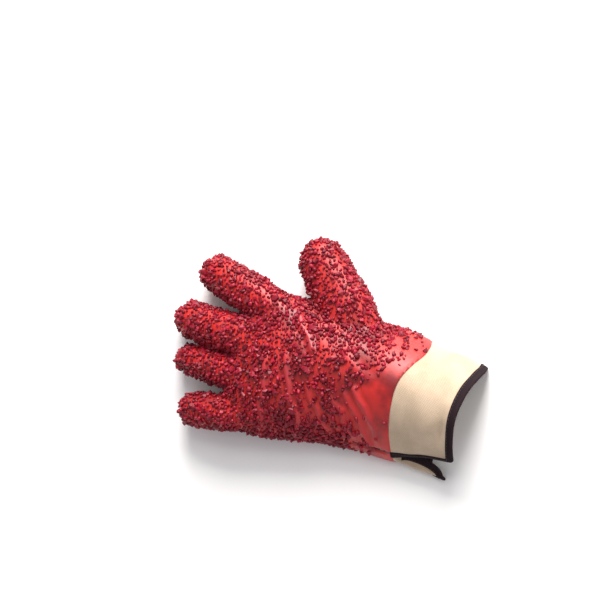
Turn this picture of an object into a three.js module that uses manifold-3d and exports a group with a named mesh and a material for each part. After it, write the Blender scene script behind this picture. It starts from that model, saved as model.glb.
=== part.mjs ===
// A rubber work glove for the left hand, lying palm down, with a split canvas safety cuff.
// Millimetres, +Z up. The fingers point along -X, the cuff opens along +X, the thumb is on the +Y side.
// The origin is under the middle of the glove, on the surface that it lies on.
import * as THREE from "three";
import { mergeVertices } from "three/addons/utils/BufferGeometryUtils.js";
import Module from "manifold-3d";

const wasm = await Module();
wasm.setup();

// The coated hand: jersey lining, rubber coating and half the height of the crumb on it.
const HAND_WALL = 3.2;
// The skin that the tables below describe is the canvas's outer face; the coating lies over it.
const COATING_OVER_SKIN = 1.3;
const GAP = 0.4;

// The cuff's canvas, and the tape folded over its edge.
const CANVAS = 1.3;
const TAPE = 0.8;
const TAPE_WIDTH = 6.2;
const CORNER_RADIUS = 8;

// Places along the glove.
const COATING_THINS = 76;
const COATING_THINNED = 94;
const SLIT_APEX = 104;
const HEM = 168.3;
const TAPE_STARTS = { back: 113, palm: 116 };

// Round the glove, an angle of 0 is the thumb side, 90 the back of the hand, 180 the little finger's side
// and -90 or 270 the palm. These are the coating's edge on the cuff and the cuff's hem.
const MOUTH_EDGE = [
  { degrees: -90, x: 108 },
  { degrees: -30, x: 109 },
  { degrees: 5, x: 112 },
  { degrees: 30, x: 118 },
  { degrees: 55, x: 116.5 },
  { degrees: 80, x: 111 },
  { degrees: 110, x: 109 },
  { degrees: 150, x: 109 },
  { degrees: 200, x: 108 },
  { degrees: 270, x: 108 },
];
const HEM_EDGE = [
  { degrees: -195, x: 155.5 },
  { degrees: -171, x: 155.5 },
  { degrees: -164, x: 150 },
  { degrees: -156, x: 143.5 },
  { degrees: -146, x: 139.5 },
  { degrees: -130, x: 140 },
  { degrees: -110, x: 143.5 },
  { degrees: -90, x: 148 },
  { degrees: -60, x: 155 },
  { degrees: -40, x: 159 },
  { degrees: -20, x: 162.5 },
  { degrees: 0, x: 166.3 },
  { degrees: 20, x: 168.5 },
  { degrees: 45, x: 168.8 },
  { degrees: 90, x: 167.8 },
  { degrees: 130, x: 168.3 },
  { degrees: 160, x: 168.3 },
];

// Cross-sections of the palm, wrist and cuff. Each is a flat tube bent over an arch: half_depth is the
// tube's, arch is how far its middle rises over its sides, lean moves the crest towards the thumb, and a
// boxy of 1 is an ellipse, with squarer sides below that.
const SECTIONS = [
  { x: -50, y: 1, half_width: 46, half_depth: 4, arch: 3, base: 24, lean: 0, boxy: 0.9 },
  { x: -44, y: 1, half_width: 55, half_depth: 9, arch: 4, base: 23, lean: 0, boxy: 0.85 },
  { x: -34, y: 1, half_width: 59, half_depth: 15, arch: 5, base: 22, lean: 0, boxy: 0.8 },
  { x: -15, y: 0, half_width: 60, half_depth: 20, arch: 8, base: 18, lean: 0.1, boxy: 0.8 },
  { x: 12, y: 1, half_width: 57, half_depth: 23, arch: 11, base: 14, lean: 0.2, boxy: 0.82 },
  { x: 42, y: 4, half_width: 54, half_depth: 23, arch: 15, base: 10, lean: 0.3, boxy: 0.82 },
  { x: 72, y: 5, half_width: 54, half_depth: 18, arch: 23, base: 6, lean: 0.35, boxy: 0.82 },
  { x: 98, y: 4, half_width: 53, half_depth: 15, arch: 28, base: 4.5, lean: 0.35, boxy: 0.8 },
  { x: 125, y: 1.7, half_width: 50.7, half_depth: 14, arch: 29, base: 4, lean: 0.3, boxy: 0.78 },
  { x: 150, y: 1.2, half_width: 49.2, half_depth: 13.5, arch: 29, base: 4, lean: 0.2, boxy: 0.78 },
  { x: 175, y: -3, half_width: 46, half_depth: 13, arch: 29, base: 4, lean: 0.1, boxy: 0.78 },
];

// The fingers and thumb, from a root inside the palm. yaw turns a finger towards the thumb, droop is how far
// it points down at its root, and curl how much further it bends down by its tip. width, tip_width and depth
// are taken outside the crumb.
const FINGERS = [
  {
    name: "index", x: -8, y: 43.8, z: 30, yaw: 12.3, droop: 2, curl: 16,
    length: 104, width: 36, tip_width: 33, depth: 32,
  },
  {
    name: "middle", x: -8, y: 15.2, z: 30.5, yaw: 1.6, droop: 2, curl: 16,
    length: 115, width: 36, tip_width: 32, depth: 31,
  },
  {
    name: "ring", x: -8, y: -17, z: 29.5, yaw: 1.1, droop: 2, curl: 17,
    length: 104, width: 29, tip_width: 26.5, depth: 29,
  },
  {
    name: "little", x: -6, y: -44, z: 27, yaw: -8.5, droop: 1, curl: 14,
    length: 89, width: 32, tip_width: 30, depth: 29,
  },
  {
    name: "thumb", x: 62, y: 32.7, z: 17, yaw: 45.7, droop: -3, curl: 8,
    length: 108, width: 61, tip_width: 37, depth: 34,
  },
];

// The main folds of the back of the hand, each a low ridge along a line seen from above.
const FOLDS = [
  { name: "over the ring knuckle", x1: -12, y1: -13, x2: -6, y2: -60, width: 5, height: 2 },
  { name: "little finger's side", x1: 8, y1: -19, x2: 29, y2: -56, width: 6, height: 2 },
  { name: "middle of the back", x1: 40, y1: -8, x2: 49, y2: -34, width: 5, height: 1.6 },
  { name: "towards the wrist", x1: 59, y1: -12, x2: 69, y2: -42, width: 5, height: 1.6 },
  { name: "at the wrist", x1: 76, y1: -3, x2: 84, y2: -26, width: 5, height: 1.2 },
  { name: "behind the index knuckle", x1: -6, y1: 50, x2: 22, y2: 34, width: 6, height: 1.6 },
];

// The two edges of the slit in the cuff. The palm's is counted on round the glove, so it is below -180.
const SLIT_EDGES = [
  { x: 98, back: 160, palm: -200 },
  { x: 104, back: 160, palm: -200 },
  { x: 112, back: 156, palm: -211 },
  { x: 120, back: 152, palm: -219 },
  { x: 130, back: 148, palm: -220 },
  { x: 142, back: 143.5, palm: -215 },
  { x: 152, back: 140.5, palm: -207.5 },
  { x: 160, back: 138.6, palm: -203 },
  { x: 168.3, back: 137, palm: -200 },
];
// The palm's flap stands out at the little finger's side by FLAP_FLARE at the hem, over FLAP_SPREAD degrees
// to either side. Beyond that side it folds over and lies lower than the back's edge, which it runs under:
// TUCK is how much lower, as a share of its height, reached after TUCK_SPREAD degrees.
const FLAP_FLARE = 4.2;
const FLAP_SPREAD = 48;
const TUCK = 0.56;
const TUCK_SPREAD = 26;
const TUCK_LENGTH = 9;
// The back's edge rolls in and down over its last degrees.
const ROLL_SPREAD = 11;
const ROLL_IN = 2.6;
const ROLL_DOWN = 1.4;
const ROLL_FROM = 109;
const ROLL_LENGTH = 18;

// How finely the surfaces are divided. Every layer has its points at the same angles round the glove,
// closest together at the crest, the palm's middle and both sides.
const ROUND_STEP = 7.5;
const ROUND_CROWDING = 7;
const AROUND_FINGER = 16;
const FINGER_STATIONS = 6;
const TIP_STATIONS = 4;
const PALM_STEP = 7;
const HOLLOW_ROWS = [-48, -34, -15, 10, 36, 60];
const MOUTH_ROWS = 2;
const CUFF_ROWS = [98, 104, 111, 118, 126, 135, 144, 152, 160.5, 168.3];
const TAPE_SLIT_STEPS = 8;
const TAPE_CORNER_STEPS = 4;
// Shares of a hem corner's radius, closest together where it turns most.
const CORNER_STEPS = [0, 0.06, 0.25, 0.55, 1];
// Every finger swells out of the palm over its first few centimetres.
const ROOT_STATIONS = [
  { at: 0, size: 0.4 },
  { at: 10, size: 0.66 },
  { at: 22, size: 0.87 },
  { at: 38, size: 1 },
];
// The small flat at the very end of a fingertip, as a share of the finger's width.
const TIP_FLAT = 0.12;

const lerp = THREE.MathUtils.lerp;
const radians = THREE.MathUtils.degToRad;
const smooth = THREE.MathUtils.smoothstep;

const COLUMNS = Object.keys(SECTIONS[0]).filter((key) => key !== "x");
const sectionCurve = new THREE.CubicInterpolant(
  SECTIONS.map((row) => row.x),
  SECTIONS.flatMap((row) => COLUMNS.map((key) => row[key])),
  COLUMNS.length,
);

function sectionAt(x) {
  const values = sectionCurve.evaluate(THREE.MathUtils.clamp(x, SECTIONS[0].x, SECTIONS.at(-1).x));
  return Object.fromEntries(COLUMNS.map((key, i) => [key, values[i]]));
}

const ROUND = Array.from({ length: 360 / ROUND_STEP }, (_, i) => {
  const turn = i * ROUND_STEP;
  return turn - ROUND_CROWDING * Math.sin(radians(4 * turn));
});

// The same angles from a high one down to a low one, not quite reaching either.
function roundBetween(high, low) {
  const turns = [...ROUND, ...ROUND.map((degrees) => degrees - 360)];
  return turns.filter((degrees) => degrees < high - 2 && degrees > low + 2).sort((a, b) => b - a);
}

// How much a fold lifts the back of the hand at a place: highest along its line, gone a few widths away.
function foldHeight(x, y) {
  return FOLDS.reduce((sum, fold) => {
    const along = new THREE.Vector2(fold.x2 - fold.x1, fold.y2 - fold.y1);
    const from = new THREE.Vector2(x - fold.x1, y - fold.y1);
    const share = THREE.MathUtils.clamp(from.dot(along) / along.lengthSq(), 0, 1);
    const away = from.addScaledVector(along, -share).length() / fold.width;
    return sum + fold.height * Math.exp(-away * away);
  }, 0);
}

// A point of the arched tube that the glove is, at an angle in degrees round it and an offset out from it.
// Skins at different offsets are nested about the same arch, so they never cross. The glove goes flat where
// it lies on the surface, each layer at its own height.
function tubePoint(x, degrees, offset) {
  const { y, half_width, half_depth, arch, base, lean, boxy } = sectionAt(x);
  const boxed = (v) => Math.sign(v) * Math.abs(v) ** boxy;
  const across = boxed(Math.cos(radians(degrees)));
  const upward = boxed(Math.sin(radians(degrees)));
  const eta = across * (1 + offset / half_width);
  const rise = arch * (1 - eta * eta) * (1 + lean * eta);
  const slope = (arch * (lean * (1 - 3 * eta * eta) - 2 * eta)) / half_width;
  const thickening = offset * Math.hypot(1, slope);
  const flapOut = Math.max(0, 1 - ((degrees + 180) / FLAP_SPREAD) ** 2);
  const flare = FLAP_FLARE * flapOut * flapOut * smooth(x, SLIT_APEX, HEM - FLAP_FLARE);
  const tucked = smooth(-180 - degrees, 0, TUCK_SPREAD) * smooth(x, SLIT_APEX, SLIT_APEX + TUCK_LENGTH);
  const pastEdge = (degrees - backEdge(x)) / ROLL_SPREAD;
  const curled = pastEdge < 1 ? Math.max(0, 1 + pastEdge) ** 2 : 0;
  const rolled = curled * smooth(x, ROLL_FROM, ROLL_FROM + ROLL_LENGTH);
  const fold = upward > 0 ? foldHeight(x, y + half_width * eta) * upward : 0;
  const height = (rise + (half_depth + thickening) * upward) * (1 - TUCK * tucked) + fold;
  return new THREE.Vector3(
    x,
    y + half_width * eta - flare + ROLL_IN * rolled,
    Math.max(base + height - ROLL_DOWN * rolled, COATING_OVER_SKIN - offset),
  );
}

// A point of the glove's skin. On the palm's flap, which doesn't follow the arch, the offset is taken square
// to the flap.
function skinPoint(x, degrees, offset) {
  if (degrees >= -180) return tubePoint(x, degrees, offset);
  const along = tubePoint(x, degrees + 0.5, 0).sub(tubePoint(x, degrees - 0.5, 0));
  const outward = new THREE.Vector3(0, along.z, -along.y).normalize();
  return tubePoint(x, degrees, 0).addScaledVector(outward, offset);
}

// A closed geometry from triangles given as points, turned so that its faces point out.
function closedGeometry(triangles) {
  const positions = triangles.flatMap((triangle) => triangle.flatMap((p) => [p.x, p.y, p.z]));
  const volume = triangles.reduce((sum, [a, b, c]) => sum + a.dot(b.clone().cross(c)), 0);
  const geometry = new THREE.BufferGeometry();
  geometry.setAttribute("position", new THREE.Float32BufferAttribute(positions, 3));
  const merged = mergeVertices(geometry, 1e-3);
  const index = Array.from(merged.index.array);
  const kept = [];
  for (let i = 0; i < index.length; i += 3) {
    const [a, b, c] = index.slice(i, i + 3);
    if (a !== b && b !== c && c !== a) kept.push(...(volume < 0 ? [a, c, b] : [a, b, c]));
  }
  merged.setIndex(kept);
  return merged;
}

function quad(a, b, c, d) {
  return [
    [a, b, c],
    [a, c, d],
  ];
}

// The wall through rings of points, open at both ends.
function wallThrough(rings) {
  const triangles = [];
  const count = rings[0].length;
  for (let j = 0; j + 1 < rings.length; j++)
    for (let i = 0; i < count; i++) {
      const k = (i + 1) % count;
      triangles.push(...quad(rings[j][i], rings[j][k], rings[j + 1][k], rings[j + 1][i]));
    }
  return triangles;
}

// A closed body through rings of points. Each end is closed from side to side, so a bent outline closes well.
function loft(rings) {
  const triangles = wallThrough(rings);
  const count = rings[0].length;
  for (let i = 0; i < count / 2; i++) {
    const [near, far] = [count - i, count - i - 1].map((k) => k % count);
    const [first, last] = [rings[0], rings.at(-1)];
    triangles.push(...quad(first[near], first[far], first[i + 1], first[i]));
    triangles.push(...quad(last[i], last[i + 1], last[far], last[near]));
  }
  return closedGeometry(triangles);
}

function solid(geometry) {
  return new wasm.Manifold(
    new wasm.Mesh({
      numProp: 3,
      vertProperties: new Float32Array(geometry.attributes.position.array),
      triVerts: new Uint32Array(geometry.index.array),
    }),
  );
}

function geometryOf(manifold) {
  const mesh = manifold.getMesh();
  const geometry = new THREE.BufferGeometry();
  geometry.setAttribute("position", new THREE.BufferAttribute(mesh.vertProperties, 3));
  geometry.setIndex(new THREE.BufferAttribute(mesh.triVerts, 1));
  geometry.computeVertexNormals();
  return geometry;
}

// A curve through two columns of a table.
function edgeCurve(table, from, to, Interpolant = THREE.LinearInterpolant) {
  const places = table.map((row) => row[from]);
  const values = table.map((row) => row[to]);
  const curve = new Interpolant(places, values, 1);
  return (place) => curve.evaluate(THREE.MathUtils.clamp(place, places[0], places.at(-1)))[0];
}

const mouthCurve = edgeCurve(MOUTH_EDGE, "degrees", "x");
const hemAt = edgeCurve(HEM_EDGE, "degrees", "x");
const backEdge = edgeCurve(SLIT_EDGES, "x", "back", THREE.CubicInterpolant);
const palmEdge = edgeCurve(SLIT_EDGES, "x", "palm", THREE.CubicInterpolant);

function mouthAt(degrees) {
  return mouthCurve(degrees > 270 ? degrees - 360 : degrees);
}

// The palm and wrist. inside is 0 for the outer face and 1 for the hollow, which runs out past the mouth.
function palm(inside) {
  const deep = COATING_OVER_SKIN - HAND_WALL;
  const rows = [SECTIONS[0].x + inside * HAND_WALL];
  if (inside) rows.push(...HOLLOW_ROWS);
  else for (let x = SECTIONS[1].x; x < COATING_THINS - PALM_STEP / 2; x += PALM_STEP) rows.push(x);
  rows.push(COATING_THINS, (COATING_THINS + COATING_THINNED) / 2, COATING_THINNED);
  const ringOf = (xAt) =>
    ROUND.map((degrees) => {
      const x = xAt(degrees);
      const hollow = lerp(deep, GAP, smooth(x, COATING_THINS, COATING_THINNED));
      return skinPoint(x, degrees, inside ? hollow : COATING_OVER_SKIN);
    });
  const rings = rows.map((x) => ringOf(() => x));
  for (let j = 1; j <= MOUTH_ROWS; j++)
    rings.push(ringOf((degrees) => lerp(COATING_THINNED, mouthAt(degrees), j / MOUTH_ROWS)));
  if (inside) rings.push(rings.at(-1).map((p) => p.clone().setX(p.x + HAND_WALL)));
  return solid(loft(rings));
}

// One finger: an oval tube along a line that bends down, with a round tip.
function finger(row, inside) {
  const inset = inside * HAND_WALL;
  const heading = radians(row.yaw);
  const side = new THREE.Vector3(Math.sin(heading), Math.cos(heading), 0);
  const length = row.length - inset;
  const tipLength = row.tip_width * 0.5;
  const straight = length - tipLength;
  const stations = ROOT_STATIONS.map((station) => ({ ...station }));
  const rooted = stations.at(-1).at;
  for (let j = 1; j < FINGER_STATIONS; j++)
    stations.push({ at: lerp(rooted, straight, j / FINGER_STATIONS), size: 1 });
  for (let j = 0; j < TIP_STATIONS; j++) {
    const turn = ((Math.PI / 2) * j) / TIP_STATIONS;
    stations.push({ at: length - tipLength * (1 - Math.sin(turn)), size: Math.cos(turn) });
  }
  stations.push({ at: length, size: TIP_FLAT });

  const point = new THREE.Vector3(row.x, row.y, row.z);
  let reached = 0;
  const rings = stations.map(({ at, size }) => {
    const pitch = radians(row.droop + (row.curl * at) / length);
    const forward = new THREE.Vector3(
      -Math.cos(heading) * Math.cos(pitch),
      Math.sin(heading) * Math.cos(pitch),
      -Math.sin(pitch),
    );
    point.addScaledVector(forward, at - reached);
    reached = at;
    const up = new THREE.Vector3().crossVectors(forward, side).normalize();
    if (up.z < 0) up.negate();
    const halfWidth = (lerp(row.width, row.tip_width, at / length) / 2 - inset) * size;
    const halfDepth = (row.depth / 2 - inset) * size;
    const ring = [];
    for (let i = 0; i < AROUND_FINGER; i++) {
      const turn = (2 * Math.PI * i) / AROUND_FINGER;
      const p = point.clone();
      p.addScaledVector(side, halfWidth * Math.cos(turn));
      p.addScaledVector(up, halfDepth * Math.sin(turn));
      p.z = Math.max(p.z, inset);
      ring.push(p);
    }
    return ring;
  });
  return solid(loft(rings));
}

function coatedHand() {
  const form = (inside) =>
    FINGERS.reduce((body, row) => body.add(finger(row, inside)), palm(inside));
  return geometryOf(form(0).subtract(form(1)));
}

// The angle reached by walking a distance along the skin, back round for a negative one.
function walk(x, degrees, distance) {
  const steps = Math.max(1, Math.ceil(Math.abs(distance)));
  let at = degrees;
  for (let i = 0; i < steps; i++) {
    const perDegree = skinPoint(x, at + 0.5, 0).distanceTo(skinPoint(x, at - 0.5, 0));
    at += distance / steps / perDegree;
  }
  return at;
}

// Columns of the canvas from one edge of the slit round to the other. Those within a corner's radius of an
// edge keep their distance from it, in millimetres, and the others have an angle. short is how far a column
// falls short of the hem, as a share of that radius.
function hemColumns() {
  const corner = (edge, direction) =>
    CORNER_STEPS.map((share) => ({
      edge,
      away: direction * share * CORNER_RADIUS,
      short: 1 - Math.sqrt(1 - (1 - share) ** 2),
    }));
  const hem = roundBetween(innerEnd(backEdge, -1, HEM), innerEnd(palmEdge, 1, HEM));
  return [
    ...corner(backEdge, -1),
    ...hem.map((degrees) => ({ degrees, short: 0 })),
    ...corner(palmEdge, 1).reverse(),
  ];
}

// Where the corner's radius ends, in from an edge of the slit.
function innerEnd(edge, direction, x) {
  return walk(x, edge(x), direction * CORNER_RADIUS);
}

// Near the slit, the canvas's threads follow its two edges. Beyond these angles they run straight.
const BACK_STRAIGHT = 90;
const PALM_STRAIGHT = -150;

function alongSlit(x, degrees) {
  const follow = (from, edge, direction) => {
    const share = (degrees - from) / (innerEnd(edge, direction, HEM) - from);
    return lerp(from, innerEnd(edge, direction, x), share);
  };
  if (degrees > BACK_STRAIGHT) return follow(BACK_STRAIGHT, backEdge, -1);
  if (degrees < PALM_STRAIGHT) return follow(PALM_STRAIGHT, palmEdge, 1);
  return degrees;
}

function columnAngle(x, column) {
  if (column.edge) return walk(x, column.edge(x), column.away);
  return alongSlit(x, column.degrees);
}

// Where a column meets the hem.
function columnHem(column) {
  const degrees = column.edge ? column.edge(HEM) : column.degrees;
  return hemAt(degrees) - column.short * CORNER_RADIUS;
}

// The canvas sleeve: a ring under the coating, open at the slit beyond its apex.
function cuff() {
  const columns = hemColumns();
  const grid = (offset) =>
    CUFF_ROWS.map((row) => {
      const open = row > SLIT_APEX;
      const points = columns.map((column) => {
        const share = (row - SLIT_APEX) / (HEM - SLIT_APEX);
        const x = open ? lerp(SLIT_APEX, columnHem(column), share) : row;
        return skinPoint(x, columnAngle(x, column), offset);
      });
      if (!open) points[points.length - 1] = points[0];
      return points;
    });
  const outer = grid(0);
  const inner = grid(-CANVAS);
  const triangles = [];
  const last = columns.length - 1;
  for (let j = 0; j + 1 < CUFF_ROWS.length; j++) {
    for (let i = 0; i < last; i++) {
      triangles.push(...quad(outer[j][i], outer[j][i + 1], outer[j + 1][i + 1], outer[j + 1][i]));
      triangles.push(...quad(inner[j][i], inner[j + 1][i], inner[j + 1][i + 1], inner[j][i + 1]));
    }
    if (CUFF_ROWS[j] >= SLIT_APEX) {
      triangles.push(...quad(outer[j][0], outer[j + 1][0], inner[j + 1][0], inner[j][0]));
      triangles.push(...quad(outer[j][last], inner[j][last], inner[j + 1][last], outer[j + 1][last]));
    }
  }
  const hem = CUFF_ROWS.length - 1;
  for (let i = 0; i < last; i++) {
    triangles.push(...quad(outer[0][i], inner[0][i], inner[0][i + 1], outer[0][i + 1]));
    triangles.push(...quad(outer[hem][i], outer[hem][i + 1], inner[hem][i + 1], inner[hem][i]));
  }
  return closedGeometry(triangles);
}

// The line at a distance in from the cuff's free edge: along the slit, round the hem and back.
function edgeLine(inset) {
  const side = (edge, start, direction) => {
    const corner = hemAt(edge(HEM)) - CORNER_RADIUS;
    const points = [];
    for (let i = 0; i < TAPE_SLIT_STEPS; i++) {
      const x = lerp(start, corner, i / TAPE_SLIT_STEPS);
      points.push({ x, degrees: walk(x, edge(x), direction * inset) });
    }
    for (let i = 0; i <= TAPE_CORNER_STEPS; i++) {
      const turn = ((Math.PI / 2) * i) / TAPE_CORNER_STEPS;
      const x = corner + (CORNER_RADIUS - inset) * Math.sin(turn);
      const away = CORNER_RADIUS - (CORNER_RADIUS - inset) * Math.cos(turn);
      points.push({ x, degrees: walk(x, edge(x), direction * away) });
    }
    return points;
  };
  const hem = hemColumns().filter((column) => !column.edge);
  return [
    ...side(backEdge, TAPE_STARTS.back, -1),
    ...hem.map((column) => {
      const x = columnHem(column) - inset;
      return { x, degrees: columnAngle(x, column) };
    }),
    ...side(palmEdge, TAPE_STARTS.palm, 1).reverse(),
  ];
}

// The tape is a strip folded over the edge, so its section is a U that holds the canvas. The corners of each
// part of that section are counted along the profile in binding(), for its two ends.
const TAPE_FOLD = 0.9;
const TAPE_END_FACES = [
  [0, 1, 12, 13],
  [1, 2, 11, 12],
  [2, 3, 11],
  [3, 4, 10, 11],
  [4, 5, 10],
  [5, 6, 9, 10],
  [6, 7, 8, 9],
];

function binding() {
  const outside = GAP + TAPE;
  const inside = -CANVAS - GAP - TAPE;
  const middle = TAPE_WIDTH / 2;
  const profile = [
    { inset: TAPE_WIDTH, offset: outside },
    { inset: middle, offset: outside },
    { inset: GAP, offset: outside },
    { inset: -outside, offset: outside - TAPE_FOLD },
    { inset: -outside, offset: inside + TAPE_FOLD },
    { inset: GAP, offset: inside },
    { inset: middle, offset: inside },
    { inset: TAPE_WIDTH, offset: inside },
    { inset: TAPE_WIDTH, offset: -CANVAS - GAP },
    { inset: middle, offset: -CANVAS - GAP },
    { inset: -GAP, offset: -CANVAS - GAP },
    { inset: -GAP, offset: GAP },
    { inset: middle, offset: GAP },
    { inset: TAPE_WIDTH, offset: GAP },
  ];
  const lines = profile.map(({ inset }) => edgeLine(inset));
  const rings = lines[0].map((_, i) =>
    profile.map(({ offset }, k) => {
      const at = lines[k][i];
      return skinPoint(at.x, at.degrees, offset);
    }),
  );
  const triangles = wallThrough(rings);
  for (const corners of TAPE_END_FACES)
    for (let i = 1; i + 1 < corners.length; i++) {
      const [a, b, c] = [corners[0], corners[i], corners[i + 1]];
      triangles.push([rings[0][c], rings[0][b], rings[0][a]]);
      triangles.push([rings.at(-1)[a], rings.at(-1)[b], rings.at(-1)[c]]);
    }
  return closedGeometry(triangles);
}

function piece(name, geometry, colour, roughness) {
  geometry.computeVertexNormals();
  const material = new THREE.MeshStandardMaterial({ color: colour, roughness, metalness: 0 });
  const mesh = new THREE.Mesh(geometry, material);
  mesh.name = name;
  return mesh;
}

const glove = new THREE.Group();
glove.add(piece("coated_hand", coatedHand(), "#b3202c", 0.5));
glove.add(piece("cuff", cuff(), "#ead8b4", 0.9));
glove.add(piece("cuff_binding", binding(), "#2c1a1e", 0.85));

const extent = new THREE.Box3().setFromObject(glove);
const centre = extent.getCenter(new THREE.Vector3());
glove.position.set(-centre.x, -centre.y, -extent.min.z);

export default glove;
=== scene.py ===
# %% [markdown]
# # A rubber work glove
#
# The glove lies palm down: cotton dipped in red rubber, with rubber crumb for grip, and a canvas safety cuff
# that is split on the little finger's side and bound with dark tape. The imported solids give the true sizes
# and places. Here each gets the surface of the real thing: rubber, crumb, woven canvas and sewn tape.

import math

import bmesh
import bpy
import numpy as np
from mathutils import Matrix, Vector


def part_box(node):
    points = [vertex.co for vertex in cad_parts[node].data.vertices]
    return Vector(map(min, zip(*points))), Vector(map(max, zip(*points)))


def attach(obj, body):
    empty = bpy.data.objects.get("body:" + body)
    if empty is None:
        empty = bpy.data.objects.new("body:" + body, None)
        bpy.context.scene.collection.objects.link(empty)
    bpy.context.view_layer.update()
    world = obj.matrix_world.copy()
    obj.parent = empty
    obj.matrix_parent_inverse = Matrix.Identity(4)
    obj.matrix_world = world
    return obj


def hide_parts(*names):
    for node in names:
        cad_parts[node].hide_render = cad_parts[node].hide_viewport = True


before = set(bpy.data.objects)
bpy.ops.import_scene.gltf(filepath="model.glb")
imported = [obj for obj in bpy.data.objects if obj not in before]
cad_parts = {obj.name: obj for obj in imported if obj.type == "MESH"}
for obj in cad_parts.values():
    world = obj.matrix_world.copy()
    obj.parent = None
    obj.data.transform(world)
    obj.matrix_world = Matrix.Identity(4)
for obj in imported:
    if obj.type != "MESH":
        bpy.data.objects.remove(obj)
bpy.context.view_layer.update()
coated_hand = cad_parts["coated_hand"]

# %% [markdown]
# ## Camera
#
# The photograph was taken from over the cuff, 64 degrees above the table, and has hardly any perspective, so
# the lens is long and far away. A camera's rotation is three directions: its right, its up and its back.
# Working them out from the tilt and the turn keeps them square to each other.

# %% Camera
MM = 0.001
TILT = math.radians(64)
TURN = math.radians(15.5)
AIM = Vector((-42.6, 36.35, 0)) * MM
DISTANCE = 2.6
VIEW_WIDTH = 0.5118
SENSOR = 36
FARTHEST = 20


def placed(name, data):
    """A new object in the scene."""
    made = bpy.data.objects.new(name, data)
    bpy.context.collection.objects.link(made)
    return made


back = Vector((math.cos(TILT), 0, math.sin(TILT)))
level = Vector((math.sin(TILT), 0, -math.cos(TILT)))
across_view = math.cos(TURN) * level + math.sin(TURN) * Vector((0, 1, 0))
up_view = back.cross(across_view)

camera = placed("camera", bpy.data.cameras.new("camera"))
camera.data.sensor_width = SENSOR
camera.data.lens = SENSOR * DISTANCE / VIEW_WIDTH
camera.data.clip_end = FARTHEST
turned = Matrix((across_view, up_view, back)).transposed().to_4x4()
camera.matrix_world = Matrix.Translation(AIM + back * DISTANCE) @ turned
bpy.context.scene.camera = camera
print("lens", round(camera.data.lens, 1), "mm")

# %% [markdown]
# ## Floor and light
#
# The glove was photographed on white in soft light. A big bright panel on the thumb's side gives the rubber
# its broad pink highlights. Weak ones stand overhead, beyond the cuff and, in violet, on the little finger's
# side, and a pale sky fills the rest. Area lights are used because their size sets how soft the shadows are.

# %% Floor and light
FLOOR_SIZE = 12

floor_mesh = bpy.data.meshes.new("floor")
half = FLOOR_SIZE / 2
floor_corners = [(-half, -half, 0), (half, -half, 0), (half, half, 0), (-half, half, 0)]
floor_mesh.from_pydata(floor_corners, [], [(0, 1, 2, 3)])
floor = placed("floor", floor_mesh)

SKY_COLOUR = (1, 0.99, 0.98, 1)
SKY_STRENGTH = 0.44
LIGHTS = [
    # name, place in metres, width in metres, power in watts, colour
    ("light_thumb_side", (-0.15, 1.4, 0.82), 1.0, 58.0, (1.0, 0.96, 0.94)),
    ("light_overhead", (0.1, 0.9, 1.5), 0.8, 6.0, (1.0, 1.0, 1.0)),
    ("light_little_side", (0.1, -1.3, 0.9), 1.0, 1.5, (0.76, 0.60, 1.0)),
    ("light_cuff_side", (1.4, 0.3, 0.5), 0.8, 6.5, (1.0, 1.0, 1.0)),
]
for name, place, width, power, colour in LIGHTS:
    lamp = placed(name, bpy.data.lights.new(name, "AREA"))
    lamp.data.size = width
    lamp.data.energy = power
    lamp.data.color = colour
    lamp.location = place
    lamp.rotation_euler = (-Vector(place)).to_track_quat("-Z", "Y").to_euler()

sky = bpy.data.worlds.new("sky")
sky.use_nodes = True
sky_light = sky.node_tree.nodes["Background"]
sky_light.inputs["Color"].default_value = SKY_COLOUR
sky_light.inputs["Strength"].default_value = SKY_STRENGTH
bpy.context.scene.world = sky
bpy.context.scene.view_settings.view_transform = "Standard"
print(len(LIGHTS), "area lights and a pale sky")

# %% [markdown]
# ## The pattern of the wrist and cuff
#
# A maker describes the cuff by its cross-sections. Each row is a place along the glove in millimetres, with
# the section's middle, half width, half depth, arch, height over the table, lean and squareness. Angles run
# round the glove: 0 is the thumb's side, 90 the back, 180 the little finger's side and -90 the palm. The
# solids came from the same rows, so what is worked out here lies exactly on them. Blender's curves could run
# through the rows too, but a formula gives any point at once.

# %% The pattern's tables
TO_FRAME = np.array([-24.369, -22.829, 0.0])

SECTIONS = [
    # x, y, half_width, half_depth, arch, base, lean, boxy
    (42, 4, 54, 23, 15, 10, 0.30, 0.82),
    (72, 5, 54, 18, 23, 6, 0.35, 0.82),
    (98, 4, 53, 15, 28, 4.5, 0.35, 0.80),
    (125, 1.7, 50.7, 14, 29, 4, 0.30, 0.78),
    (150, 1.2, 49.2, 13.5, 29, 4, 0.20, 0.78),
    (175, -3, 46, 13, 29, 4, 0.10, 0.78),
]
COATING_EDGE = [
    # degrees, x
    (-90, 108), (-30, 109), (5, 112.5), (28, 118), (44, 119.5), (60, 116.5), (82, 111.2), (110, 109),
    (150, 109), (200, 108), (270, 108),
]
HEM_EDGE = [
    # degrees, x
    (-195, 155.5), (-171, 155.5), (-164, 150), (-156, 143.5), (-146, 139.5), (-130, 140), (-110, 143.5),
    (-90, 148), (-60, 155), (-40, 159), (-20, 162.5), (0, 166.3), (20, 168.5), (45, 168.8), (90, 167.8),
    (130, 168.3), (160, 168.3),
]
SLIT_EDGES = [
    # x, angle of the back's edge, angle of the palm's edge
    (98, 160, -200), (104, 160, -200), (112, 156, -211), (120, 152, -219), (130, 148, -220),
    (142, 143.5, -215), (152, 140.5, -207.5), (160, 138.6, -203), (168.3, 137, -200),
]
CANVAS = 1.3
COATING = 1.3
CUFF_START = 98
SLIT_APEX = 104
HEM = 168.3
CORNER = 8
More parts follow.
